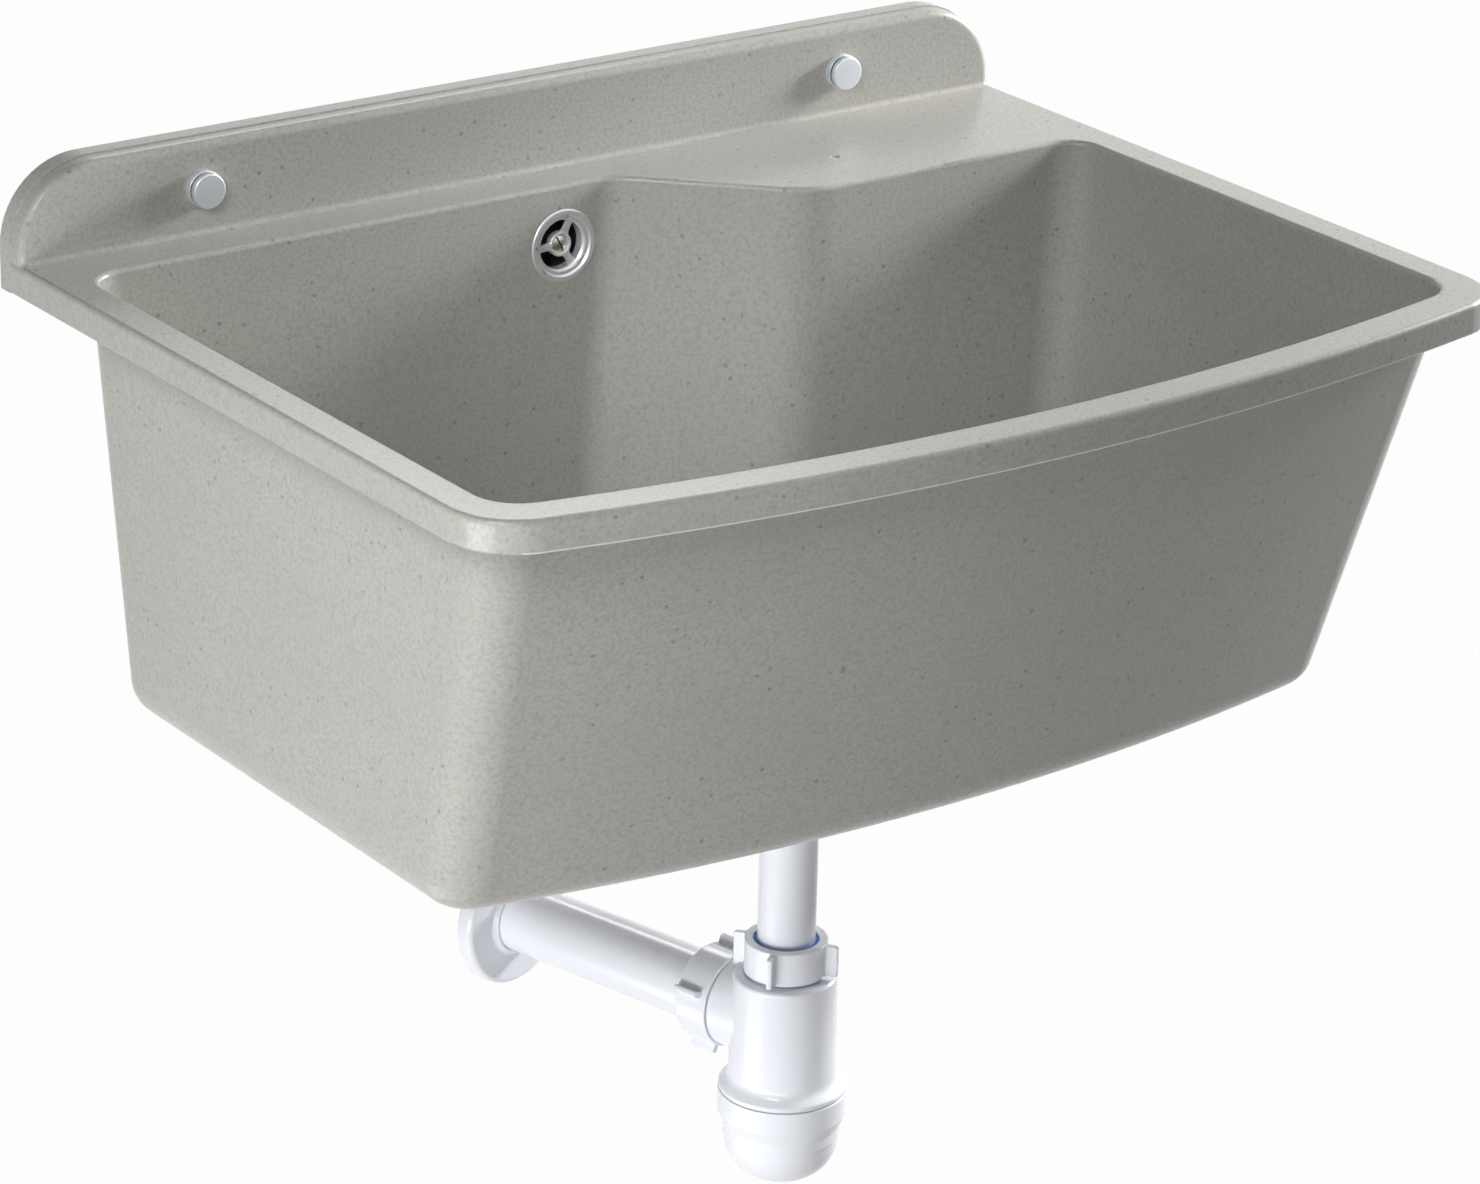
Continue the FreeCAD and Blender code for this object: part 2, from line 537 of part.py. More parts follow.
# Trap: nut and seal on the pipe
thread_bore = NECK_R + FIT
seal_hole = PIPE_R + SEAL_T
trap_top_nut = winged_nut(TOP_NUT_R, thread_bore, seal_hole, TOP_NUT, TOP_WING_TURN, WING_REACH)
trap_top_nut = place(trap_top_nut, V(0, 0, trap_top - TOP_NUT), AXIS)
neck_top = trap_top - NUT_SHOULDER - SEAL_T
seal_bore = PIPE_R + SEAL_FIT
trap_top_seal = turn((seal_bore, trap_top - 1), (seal_hole - FIT, trap_top - 1),
                     (seal_hole - FIT, trap_top - NUT_SHOULDER - FIT),
                     (NECK_R - FIT, trap_top - NUT_SHOULDER - FIT),
                     (NECK_R - FIT, neck_top + FIT), (seal_bore, neck_top + FIT))

# Trap: bottle with a shoulder, a slight flare and a flange over the cup
shoulder = trap_top - TOP_NUT - NUT_CLEAR
body_foot = trap_top - BODY_TALL
neck_bore = NECK_R - NECK_WALL
flare = FLANGE_R - BODY_FOOT_R
bottle = turn((0, neck_top), (NECK_R, neck_top), (NECK_R, shoulder), (BODY_TOP_R, shoulder),
              (BODY_FOOT_R, body_foot + FLANGE_T + flare), (FLANGE_R, body_foot + FLANGE_T),
              (FLANGE_R, body_foot), (0, body_foot))
bottle = round_rings(bottle, BODY_WALL, (BODY_TOP_R, shoulder))
bottle = round_rings(bottle, FLARE_ROUND, (BODY_FOOT_R, body_foot + FLANGE_T + flare))
arm = place(disc(OUTLET_R + FIT + ARM_WALL, 0, ARM_END), V(0, 0, outlet_height), V(0, 1, 0))
root = place(disc(ARM_ROOT_R, 0, SIDE_NUT_START - ARM_ROOT_GAP), V(0, 0, outlet_height), V(0, 1, 0))
bottle = bottle.fuse(arm).fuse(root)
body_bore = BODY_TOP_R - BODY_WALL
hollow = turn((0, neck_top), (neck_bore, neck_top), (neck_bore, shoulder - BODY_WALL),
              (body_bore, shoulder - BODY_WALL), (body_bore, body_foot + THREAD_TALL),
              (THREAD_R, body_foot + THREAD_TALL), (THREAD_R, body_foot), (0, body_foot))
socket = place(disc(OUTLET_R + FIT, OUTLET_START - 1, ARM_END), V(0, 0, outlet_height), V(0, 1, 0))
port = place(disc(OUTLET_R - OUTLET_WALL, 0, OUTLET_START), V(0, 0, outlet_height), V(0, 1, 0))
trap_body = bottle.cut(hollow).cut(socket).cut(port).removeSplitter()

# Outlet: nut, seal, pipe and wall cover, built along Z from the trap's axis
side_bore = OUTLET_R + FIT + ARM_WALL + FIT
side_hole = OUTLET_R + SEAL_T
side_nut = winged_nut(side_bore + SIDE_NUT_WALL, side_bore, side_hole, SIDE_NUT, SIDE_WING_TURN,
                      SIDE_WING_REACH, SIDE_WING_START)
side_nut = place(side_nut, V(0, 0, SIDE_NUT_START), AXIS)
side_seal = tube(OUTLET_R + FIT + ARM_WALL, OUTLET_R + SEAL_FIT, ARM_END,
                 SIDE_NUT_START + SIDE_NUT - NUT_SHOULDER)
spigot = OUTLET_END - OUTLET_FREE
bore = OUTLET_R - OUTLET_WALL
mark_r = OUTLET_R - MARK_DEPTH
outlet_pipe = turn((bore, OUTLET_START), (OUTLET_R, OUTLET_START), (OUTLET_R, spigot - MARK_WIDTH),
                   (mark_r, spigot - MARK_WIDTH), (mark_r, spigot), (OUTLET_R, spigot),
                   (OUTLET_R, OUTLET_END - OUTLET_BEVEL), (OUTLET_R - OUTLET_BEVEL, OUTLET_END),
                   (bore, OUTLET_END))
cover_back = spigot
cover_front = cover_back - COVER_DEPTH
cover_face = cover_front + COVER_COLLAR
cover_bore = OUTLET_R + FIT
wall_rosette = turn((cover_bore, cover_front), (cover_bore + COVER_WALL, cover_front),
                    (cover_bore + COVER_WALL, cover_face - 1), (COVER_R - COVER_WALL, cover_face),
                    (COVER_R, cover_face + COVER_WALL), (COVER_R, cover_back),
                    (COVER_R - COVER_WALL, cover_back), (COVER_R - COVER_WALL, cover_face + COVER_WALL),
                    (cover_bore, cover_face + COVER_WALL))

# Cup: grip ring, taper, land and rounded bottom, with a threaded spigot inside the bottle
cup_top = body_foot - CUP_SEAT_GAP
ring_foot = cup_top - CUP_RING
land_top = ring_foot - CUP_TAPER
bowl_top = land_top - CUP_LAND
cup_foot = body_foot - CUP_TALL
seal_low = body_foot - CUP_SEAL_T
spigot_r = THREAD_R - FIT
spigot_bore = spigot_r - CUP_WALL


def bowl_edge(radius, top, foot):
    """Half outline of the rounded bottom, from its side to the axis."""
    depth = top - foot
    bend = math.radians(CUP_BEND)
    middle = V(radius * math.sin(bend), 0, top - depth * math.cos(bend) ** CUP_FULLNESS)
    return Part.Arc(V(radius, 0, top), middle, V(radius * CUP_FLAT, 0, foot)).toShape()


def cup_solid(profile, radius, top, foot):
    """Revolve straight corners, a rounded bottom and the axis."""
    corners = [V(r, 0, z) for r, z in profile]
    edges = [Part.makeLine(a, b) for a, b in zip(corners, corners[1:])]
    bend = bowl_edge(radius, top, foot)
    edges += [bend, Part.makeLine(V(radius * CUP_FLAT, 0, foot), V(0, 0, foot)),
              Part.makeLine(V(0, 0, foot), corners[0])]
    return Part.Face(Part.Wire(edges)).revolve(V(), AXIS, 360)


cup = cup_solid(((0, cup_top), (CUP_R, cup_top), (CUP_R, ring_foot), (CUP_BOWL_R + CUP_STEP, land_top),
                 (CUP_BOWL_R + CUP_STEP, bowl_top), (CUP_BOWL_R, bowl_top)), CUP_BOWL_R, bowl_top, cup_foot)
cup = cup.fuse(disc(spigot_r, cup_top, body_foot + THREAD_TALL - CUP_WALL))
seal_recess = tube(CUP_R - CUP_WALL, spigot_r, seal_low, cup_top)
inner_r = CUP_BOWL_R - CUP_WALL
cup_hollow = cup_solid(((0, body_foot + THREAD_TALL), (spigot_bore, body_foot + THREAD_TALL),
                        (spigot_bore, land_top), (inner_r, land_top - CUP_TAPER / 2), (inner_r, bowl_top)),
                       inner_r, bowl_top, cup_foot + CUP_WALL)
trap_cup = cup.cut(seal_recess).cut(cup_hollow).removeSplitter()
cup_gasket = tube(CUP_R - CUP_WALL - FIT, spigot_r + FIT, seal_low, body_foot)

# The trap is turned so that its outlet runs left of square to the wall.
swing = math.radians(OUTLET_SWING)
OUTLET_WAY = V(-math.sin(swing), math.cos(swing), 0)
OUTLET = DRAIN + V(0, 0, outlet_height)
trap_body.rotate(V(), AXIS, OUTLET_SWING)


def at_drain(shape):
    return [place(shape, DRAIN, AXIS)] if shape.Placement.isIdentity() else [shape.translated(DRAIN)]


def at_overflow(shape):
    return [place(shape, OVERFLOW, INTO_BOWL)]


def along_outlet(shape):
    shape = shape.copy()
    shape.Placement = FreeCAD.Placement(OUTLET, FreeCAD.Rotation(AXIS, OUTLET_WAY)).multiply(shape.Placement)
    return [shape]


left_cap, right_cap = at_screws(cap)
nodes = {
    "basin_shell": [basin_shell],
    "wall_screws": at_screws(wall_screw),
    "cap_bases": at_screws(cap_base),
    "left_cap": [left_cap],
    "right_cap": [right_cap],
    "overflow_rosette": at_overflow(rosette),
    "overflow_screw": at_overflow(overflow_screw),
    "overflow_gasket": at_overflow(overflow_gasket),
    "overflow_elbow": at_overflow(overflow_elbow),
    "drain_strainer": at_drain(drain_strainer),
    "strainer_gasket": at_drain(strainer_gasket),
    "strainer_screw": at_drain(strainer_screw),
    "screw_insert": at_drain(screw_insert),
    "waste_gasket": at_drain(waste_gasket),
    "waste_body": at_drain(waste_body),
    "waste_seal": at_drain(waste_seal),
    "waste_nut": at_drain(waste_nut),
    "inlet_pipe": at_drain(inlet_pipe),
    "trap_top_nut": at_drain(trap_top_nut),
    "trap_top_seal": at_drain(trap_top_seal),
    "trap_body": at_drain(trap_body),
    "side_nut": along_outlet(side_nut),
    "side_seal": along_outlet(side_seal),
    "outlet_pipe": along_outlet(outlet_pipe),
    "wall_rosette": along_outlet(wall_rosette),
    "trap_cup": at_drain(trap_cup),
    "cup_gasket": at_drain(cup_gasket),
}

os.makedirs("parts", exist_ok=True)
for name, solids in nodes.items():
    lowered = [s.translated(V(0, 0, -SCREW_RISE)) for s in solids]
    shape = lowered[0] if len(lowered) == 1 else Part.makeCompound(lowered)
    shape.exportStep("parts/" + name + ".step")
    print(name, len(shape.Solids), round(shape.Volume, 1), shape.isValid())
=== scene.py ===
"""Wall-hung utility sink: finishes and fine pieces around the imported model, in metres."""
import math

import bmesh
import bpy
from mathutils import Matrix, Vector


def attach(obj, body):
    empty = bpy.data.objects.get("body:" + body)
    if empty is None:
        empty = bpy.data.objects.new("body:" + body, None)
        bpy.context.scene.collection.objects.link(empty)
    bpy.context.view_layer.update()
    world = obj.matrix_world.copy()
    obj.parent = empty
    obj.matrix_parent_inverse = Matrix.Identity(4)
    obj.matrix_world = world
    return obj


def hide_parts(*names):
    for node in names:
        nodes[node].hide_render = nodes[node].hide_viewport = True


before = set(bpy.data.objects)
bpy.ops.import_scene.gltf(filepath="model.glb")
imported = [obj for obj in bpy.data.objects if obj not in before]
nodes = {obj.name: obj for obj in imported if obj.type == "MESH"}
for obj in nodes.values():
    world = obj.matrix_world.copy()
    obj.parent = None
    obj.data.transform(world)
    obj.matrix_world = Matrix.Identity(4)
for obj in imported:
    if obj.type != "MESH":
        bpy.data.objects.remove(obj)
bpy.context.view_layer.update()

# Studio
# A long lens looks down on the sink from its left. Soft boxes stand behind, on the right and
# on the left, and two small ones with grids pick out the bowl's jog and the tap ledge.
scene = bpy.context.scene
scene.view_settings.view_transform = "Standard"
CAMERA_PLACE = (-1.5726, -2.3923, 0.8698)
AZIMUTH = math.radians(-35.964)
ELEVATION = math.radians(21.908)
ROLL = math.radians(1.3)
SENSOR_WIDTH = 36
FOCAL_LENGTH = 130.73
VIEW_END = 20
ahead = Vector((-math.sin(AZIMUTH) * math.cos(ELEVATION),
                math.cos(AZIMUTH) * math.cos(ELEVATION), -math.sin(ELEVATION)))
level = ahead.cross(Vector((0, 0, 1))).normalized()
above = level.cross(ahead)
right = level * math.cos(ROLL) + above * math.sin(ROLL)
upward = above * math.cos(ROLL) - level * math.sin(ROLL)
lens = bpy.data.cameras.new("camera")
lens.sensor_width = SENSOR_WIDTH
lens.lens = FOCAL_LENGTH
lens.clip_end = VIEW_END
camera = bpy.data.objects.new("camera", lens)
view_turn = Matrix((right, upward, -ahead)).transposed().to_4x4()
camera.matrix_world = Matrix.Translation(CAMERA_PLACE) @ view_turn
scene.collection.objects.link(camera)
scene.camera = camera
SINK_MIDDLE = Vector((0, -0.25, -0.1))
JOG_MIDDLE = Vector((0.09, -0.1, -0.12))
LEDGE_MIDDLE = Vector((0.2, -0.06, 0.02))
FRONT_MIDDLE = Vector((-0.05, -0.45, -0.15))
OPEN_SPREAD = 180
JOG_SPREAD = 15
LEDGE_SPREAD = 20


def soft_box(name, place, size, watts, aim=SINK_MIDDLE, spread=OPEN_SPREAD):
    """A lamp of a width and a height, turned to what it lights and out of the camera's sight."""
    light = bpy.data.lights.new(name, "AREA")
    light.shape = "RECTANGLE"
    light.size, light.size_y = size
    light.energy = watts
    light.spread = math.radians(spread)
    stand = bpy.data.objects.new(name, light)
    stand.location = place
    stand.visible_camera = False
    stand.rotation_euler = (aim - Vector(place)).to_track_quat("-Z", "Y").to_euler()
    scene.collection.objects.link(stand)


soft_box("back_box", (1.1, 1.7, 1.25), (0.7, 0.5), 6)
soft_box("right_box", (1.6, -0.3, 0.45), (0.6, 0.4), 52)
soft_box("left_front_box", (-1.0, -0.85, 0.65), (0.5, 0.4), 8)
soft_box("jog_grid_box", (-0.78, -0.97, 0.55), (0.25, 0.25), 0.08, JOG_MIDDLE, JOG_SPREAD)
soft_box("ledge_grid_box", (-0.78, -0.97, 0.55), (0.25, 0.25), 0.03, LEDGE_MIDDLE, LEDGE_SPREAD)
soft_box("under_left_box", (-1.6, -0.6, -0.75), (1.0, 0.5), 19)
soft_box("low_front_box", (-1.0, -1.3, -0.75), (0.8, 0.4), 3)
soft_box("near_front_box", (-0.6, -1.05, -0.5), (0.4, 0.3), 0.7, FRONT_MIDDLE)
soft_box("trap_box", (-0.5, -0.15, -0.84), (0.5, 0.5), 1.5)


class Socket:
    """An output of a node tree that can be used in arithmetic."""

    def __init__(self, socket):
        self.socket = socket

    def node(self, kind, settings=None, sockets=None, output=0):
        """One output of a new node of the same tree."""
        tree = self.socket.id_data
        made = tree.nodes.new("ShaderNode" + kind)
        for name, value in (settings or {}).items():
            setattr(made, name, value)
        for name, value in (sockets or {}).items():
            if isinstance(value, Socket):
                tree.links.new(value.socket, made.inputs[name])
            else:
                made.inputs[name].default_value = value
        return Socket(made.outputs[output])

    def math(self, operation, first, second):
        return self.node("Math", {"operation": operation}, {0: first, 1: second})

    def __add__(self, other):
        return self.math("ADD", self, other)

    def __radd__(self, other):
        return self.math("ADD", other, self)

    def __sub__(self, other):
        return self.math("SUBTRACT", self, other)

    def __rsub__(self, other):
        return self.math("SUBTRACT", other, self)

    def __mul__(self, other):
        return self.math("MULTIPLY", self, other)

    def __rmul__(self, other):
        return self.math("MULTIPLY", other, self)

    def over(self, low, high):
        """0 below low, 1 above high and smooth between."""
        return self.node("MapRange", {"interpolation_type": "SMOOTHSTEP"},
                         {0: self, 1: low, 2: high})

    def feeds(self, node, name):
        self.socket.id_data.links.new(self.socket, node.inputs[name])


def shown_white(start):
    """1 for rays of the camera, of mirrors and of glass, which see white, and 0 for the rest."""
    camera_ray, mirror_ray, glass_ray = (
        start.node("LightPath", output=ray)
        for ray in ("Is Camera Ray", "Is Glossy Ray", "Is Transmission Ray"))
    shown = camera_ray.math("MAXIMUM", camera_ray, mirror_ray)
    return shown.math("MAXIMUM", shown, glass_ray)


AMBIENT = 0.06
WHITE = (1, 1, 1, 1)
world = bpy.data.worlds.new("studio")
scene.world = world
world.use_nodes = True
room = world.node_tree.nodes["Background"]
room.inputs["Color"].default_value = WHITE
(AMBIENT + shown_white(Socket(room.outputs[0])) * (1 - AMBIENT)).feeds(room, "Strength")

# Floor
# Pale paper, as far below the sink as such a sink hangs above a floor. It shows nearly white
# with a faint shadow, and is clear from below so that the underside can be looked at.
FLOOR_HEIGHT = -0.88
FLOOR_HALF = 8
GLOW_SHARE = 0.98
paper = bpy.data.materials.new("floor_paper")
paper.use_nodes = True
paper_nodes = paper.node_tree.nodes
paper_shader = paper_nodes["Principled BSDF"]
paper_shader.inputs["Base Color"].default_value = (0.25, 0.25, 0.25, 1)
paper_shader.inputs["Roughness"].default_value = 0.9
sheet = Socket(paper_shader.outputs[0])
glow = sheet.node("Emission", {}, {"Color": WHITE, "Strength": 1.0})
look = sheet.node("MixShader", {}, {0: shown_white(sheet) * GLOW_SHARE, 1: sheet, 2: glow})
from_below = sheet.node("NewGeometry", output="Backfacing")
look = sheet.node("MixShader", {}, {0: from_below, 1: look, 2: sheet.node("BsdfTransparent")})
look.feeds(paper_nodes["Material Output"], "Surface")
floor_corners = [(x * FLOOR_HALF, y * FLOOR_HALF, FLOOR_HEIGHT)
                 for x, y in ((-1, -1), (1, -1), (1, 1), (-1, 1))]
floor_mesh = bpy.data.meshes.new("floor")
floor_mesh.from_pydata(floor_corners, [], [(0, 1, 2, 3)])
floor_mesh.materials.append(paper)
floor = bpy.data.objects.new("floor", floor_mesh)
scene.collection.objects.link(floor)


# Basin shell
# One moulding of grey stone-filled plastic: bowl, rim, tap ledge and backsplash. The skin is
# satin, softly mottled, with a few dark grains and a faint orange peel.
def finish(name, **steady):
    """A new material with the values that are the same all over it.

    Gives the material, its shader and the place on the piece.
    """
    material = bpy.data.materials.new(name)
    material.use_nodes = True
    shader = material.node_tree.nodes["Principled BSDF"]
    for socket, value in steady.items():
        shader.inputs[socket.replace("_", " ")].default_value = value
    place = Socket(shader.outputs[0]).node("TexCoord", output="Object")
    return material, shader, place


def coat(material, *names):
    """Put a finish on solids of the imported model."""
    for name in names:
        slots = nodes[name].data.materials
        slots.clear()
        slots.append(material)


def noise(place, scale, detail=2.0, roughness=0.5):
    return place.node("TexNoise", {}, {"Vector": place, "Scale": scale, "Detail": detail,
                                       "Roughness": roughness})


def mixed(share, first, second):
    """A colour between two, by a share from 0 to 1."""
    return share.node("Mix", {"data_type": "RGBA"}, {"Factor": share, "A": first, "B": second}, 2)


def shifted(operation, place, other):
    """A vector from two, or from a vector and a number where it is scaled."""
    second = "Scale" if operation == "SCALE" else 1
    return place.node("VectorMath", {"operation": operation}, {0: place, second: other})


GRAIN_HEART = 0.35


def grains(place, scale, size, share):
    """Soft dots of a size in metres, in a share of the cells of a loose pattern."""
    cells = {"Vector": place, "Scale": scale, "Randomness": 1.0}
    away = place.node("TexVoronoi", {}, cells, "Distance")
    lot = place.node("SeparateColor", {}, {0: place.node("TexVoronoi", {}, cells, "Color")})
    dots = 1 - away.over(GRAIN_HEART * size * scale, size * scale)
    return dots * lot.over(1 - share, 1 - share / 3)


WARM_STONE = (0.43, 0.423, 0.392, 1)
PALE_STONE = (0.445, 0.437, 0.405, 1)
GREY_STONE = (0.372, 0.368, 0.343, 1)
FAINT_GRAIN = (0.22, 0.222, 0.21, 1)
DARK_GRAIN = (0.16, 0.163, 0.158, 1)
FAINT_STRENGTH = 0.35
DARK_STRENGTH = 0.6
DRIFT_SCALE = 900.0
DRIFT_REACH = 0.002
granite, granite_shader, here = finish("granite_plastic", Coat_Weight=0.18, Coat_Roughness=0.12,
                                       Specular_IOR_Level=0.2)
cloud = noise(here, 14, 2)
mottle = noise(here, 430, 3, 0.6)
drift = here.node("TexNoise", {}, {"Vector": here, "Scale": DRIFT_SCALE}, "Color")
ragged = shifted("ADD", here, shifted("SCALE", drift, DRIFT_REACH))
dark_grains = grains(ragged, 115, 0.0016, 0.7)
faint_grains = grains(ragged, 300, 0.0011, 0.8)
stone = mixed(cloud.over(0.35, 0.65), WARM_STONE, PALE_STONE)
stone = mixed(mottle.over(0.4, 0.66), stone, GREY_STONE)
stone = mixed(faint_grains * FAINT_STRENGTH, stone, FAINT_GRAIN)
stone = mixed(dark_grains * DARK_STRENGTH, stone, DARK_GRAIN)
# A pale line along the foot of the front lip is a painted highlight, where the lip's lower edge
# catches the light.
BOW_CENTRE = (0, 0.9, 0)
BOW_RADIUS = 1.4
LIP_FOOT = -0.0423
HIGHLIGHT_DEPTH = (0.0022, 0.0014)
HIGHLIGHT_RISE = (0.0009, 0.0014)
HIGHLIGHT_STRENGTH = 0.8
PAINTED_LIP_HIGHLIGHT = (0.80, 0.76, 0.68, 1)
from_centre = shifted("MULTIPLY", shifted("SUBTRACT", here, BOW_CENTRE), (1, 1, 0))
bow = here.node("VectorMath", {"operation": "LENGTH"}, {0: from_centre}, "Value")
height = here.node("SeparateXYZ", {}, {0: here}, "Z")
lip_highlight = bow.over(*(BOW_RADIUS - depth for depth in HIGHLIGHT_DEPTH))
lip_highlight = lip_highlight * (1 - height.over(*(LIP_FOOT + rise for rise in HIGHLIGHT_RISE)))
# Painted highlight: the pale line mixed into the stone at the lip's foot.
stone = mixed(lip_highlight * HIGHLIGHT_STRENGTH, stone, PAINTED_LIP_HIGHLIGHT)
stone.feeds(granite_shader, "Base Color")
(0.25 + cloud * 0.06 + mottle * 0.05).feeds(granite_shader, "Roughness")
PEEL = {"Strength": 0.05, "Distance": 0.001, "Height": noise(here, 260)}
here.node("Bump", {}, PEEL).feeds(granite_shader, "Normal")
coat(granite, "basin_shell")

# Wall screws
# Two zinc-plated steel screws with countersunk heads. They pass through bosses of the
# backsplash and bite in the wall with a coarse rolled thread.
MM = 0.001
ARC_STEPS = 4
ARC_SHARE = 0.98


def outline(corners):
    """Closed section from (radius, height, rounding, wing reach) corners, rounded by arcs."""
    corners = [tuple(c) + (0,) * (4 - len(c)) for c in corners]
    line = []
    for i, (radius, height, rounding, reach) in enumerate(corners):
        corner = Vector((radius, height, reach))
        before, after = (Vector((c[0], c[1], c[3])) - corner
                         for c in (corners[i - 1], corners[(i + 1) % len(corners)]))
        if not rounding:
            line.append(corner)
            continue
        cut = rounding / math.tan(before.angle(after) / 2)
        start = corner + before.normalized() * min(cut, ARC_SHARE * before.length)
        end = corner + after.normalized() * min(cut, ARC_SHARE * after.length)
        for step in range(ARC_STEPS + 1):
            t = step / ARC_STEPS
            line.append(start * (1 - t) ** 2 + corner * 2 * t * (1 - t) + end * t ** 2)
    return line


# A wing's flank, as (past its side, share of its reach), and the plain steps that it takes up.
WING_FLANK = ((0.9, 0), (0.25, 0.05), (0, 0.18), (0, 0.82), (-0.3, 0.95), (-0.9, 1))
WING_STEPS = 3


def turned(corners, form=None, steps=96, wings=0, wing_turn=0, wing_width=0):
    """A section turned about Z, in millimetres. Wings stand out where the section has reach."""
    if wings:
        flank = [(wing_width / 2 + past, lift) for past, lift in WING_FLANK]
        plain = steps // wings
        stations = []
        for i in range(wings):
            middle = math.radians(wing_turn + 360 * i / wings)
            stations += [(middle, -aside, lift) for aside, lift in flank] + [(middle, 0, 1)]
            stations += [(middle, aside, lift) for aside, lift in reversed(flank)]
            stations += [(middle + math.tau * k / plain / wings, 0, 0)
                         for k in range(WING_STEPS, plain - WING_STEPS + 1)]
    else:
        stations = [(math.tau * k / steps, 0, 0) for k in range(steps)]
    shape = bmesh.new()
    rings = []
    for radius, height, reach in outline(corners):
        ring = []
        for middle, aside, lift in stations:
            out = math.sqrt(max(radius ** 2 - aside ** 2, 0)) + reach * lift
            if form:
                out = form(out, height, middle)
            x = out * math.cos(middle) - aside * math.sin(middle)
            y = out * math.sin(middle) + aside * math.cos(middle)
            ring.append(shape.verts.new((x, y, height)))
        rings.append(ring)
    for ring, following in zip(rings, rings[1:] + rings[:1]):
        for k in range(len(stations)):
            shape.faces.new((ring[k - 1], ring[k], following[k], following[k - 1]))
    return shape


def stood(shape, foot, direction):
    """Take a shape drawn in millimetres along Z to its place."""
    tilt = Vector((0, 0, 1)).rotation_difference(Vector(direction)).to_matrix().to_4x4()
    move = Matrix.Translation(Vector(foot) * MM) @ tilt @ Matrix.Scale(MM, 4)
    bmesh.ops.transform(shape, matrix=move, verts=shape.verts)
    return shape


WELD = 1e-7
SHARP_ANGLE = math.radians(40)


def piece(name, shapes, material, body, replaced, inside=None):
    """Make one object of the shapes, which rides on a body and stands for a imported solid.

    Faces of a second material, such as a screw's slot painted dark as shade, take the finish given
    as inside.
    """
    whole = bmesh.new()
    for shape in shapes:
        bmesh.ops.remove_doubles(shape, verts=shape.verts, dist=WELD)
        bmesh.ops.delete(shape, geom=[e for e in shape.edges if not e.link_faces],
                         context="EDGES")
        bmesh.ops.recalc_face_normals(shape, faces=shape.faces)
        carrier = bpy.data.meshes.new("carrier")
        shape.to_mesh(carrier)
        shape.free()
        whole.from_mesh(carrier)
        bpy.data.meshes.remove(carrier)
    mesh = bpy.data.meshes.new(name)
    whole.to_mesh(mesh)
    whole.free()
    mesh.shade_smooth()
    mesh.set_sharp_from_angle(angle=SHARP_ANGLE)
    mesh.materials.append(material)
    if inside:
        mesh.materials.append(inside)
    made = bpy.data.objects.new(name, mesh)
    scene.collection.objects.link(made)
    made.modifiers.new("even_normals", "WEIGHTED_NORMAL").keep_sharp = True
    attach(made, body)
    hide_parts(replaced)


steel, steel_shader, here = finish("zinc_steel", Base_Color=(0.62, 0.63, 0.65, 1), Metallic=1.0)
(0.22 + noise(here, 240, 4) * 0.2).feeds(steel_shader, "Roughness")
SCREW_PLACES = ((-210, -21, 0), (210, -21, 0))
OUT_OF_WALL = (0, -1, 0)
SHANK_R = 2.5
THREAD_R = 3
THREAD_TOP = -21
THREAD_FOOT = -66
THREAD_CORE = 0.74
THREAD_FLANK = 0.3
PITCH = 2.6
RING_STEP = PITCH / 8
RECESS_LOW = 2.5
RECESS_R = 3
RECESS_WAIST = 0.4


def threaded(radius, height, angle):
    """Rolled thread below the wall plane and a crosswise recess in the head."""
    if height > RECESS_LOW and radius < RECESS_R:
        return radius * (RECESS_WAIST + (1 - RECESS_WAIST) * math.cos(2 * angle) ** 4)
    if THREAD_FOOT < height < THREAD_TOP:
        turns = (height / PITCH - angle / math.tau) % 1
        crest = max(0, 1 - abs(turns - 0.5) / THREAD_FLANK)
        return radius * (THREAD_CORE + (1 - THREAD_CORE) * crest)
    return radius


thread_heights = [THREAD_FOOT + RING_STEP * k
                  for k in range(int((THREAD_TOP - THREAD_FOOT) / RING_STEP) + 1)]
wall_screw = [(0, THREAD_FOOT)]
wall_screw += [(min(THREAD_R, 1 + (z - THREAD_FOOT) / 3), z) for z in thread_heights]
wall_screw += [(SHANK_R, THREAD_TOP), (SHANK_R, 2.4, 0.3), (5.8, 5.7, 0.2), (2.9, 5.7), (1.6, 3.4),
               (0, 3.2)]
screw_pair = [stood(turned(wall_screw, threaded, 40), foot, OUT_OF_WALL) for foot in SCREW_PLACES]
piece("wall_screw_pair", screw_pair, steel, "sink", "wall_screws")

# Screw caps
# Chromed plastic caps clip on round bases under the screws' heads and pull straight off. The
# narrow gap between cap and base is painted shade: the spigots' rims there are near black.
chrome, chrome_shader, here = finish("cap_chrome", Metallic=0.5, Coat_Weight=0.6,
                                     Coat_Roughness=0.05)
wiped = noise(here, 90, 3)
mixed(wiped, (0.76, 0.80, 0.87, 1), (0.82, 0.85, 0.90, 1)).feeds(chrome_shader, "Base Color")
(0.28 + wiped * 0.12).feeds(chrome_shader, "Roughness")
cap_ring = ((3.3, 0), (10.1, 0, 0.2), (10.1, 3.8, 0.4), (7.5, 3.8), (7.5, 2.1), (3.3, 2.1))
piece("cap_base_rings", [stood(turned(cap_ring), foot, OUT_OF_WALL) for foot in SCREW_PLACES],
      chrome, "sink", "cap_bases")
SOFT_EDGE = 0.0007


def softened(place, shader, radius):
    """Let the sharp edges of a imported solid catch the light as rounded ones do."""
    place.node("Bevel", {"samples": 4}, {"Radius": radius}).feeds(shader, "Normal")
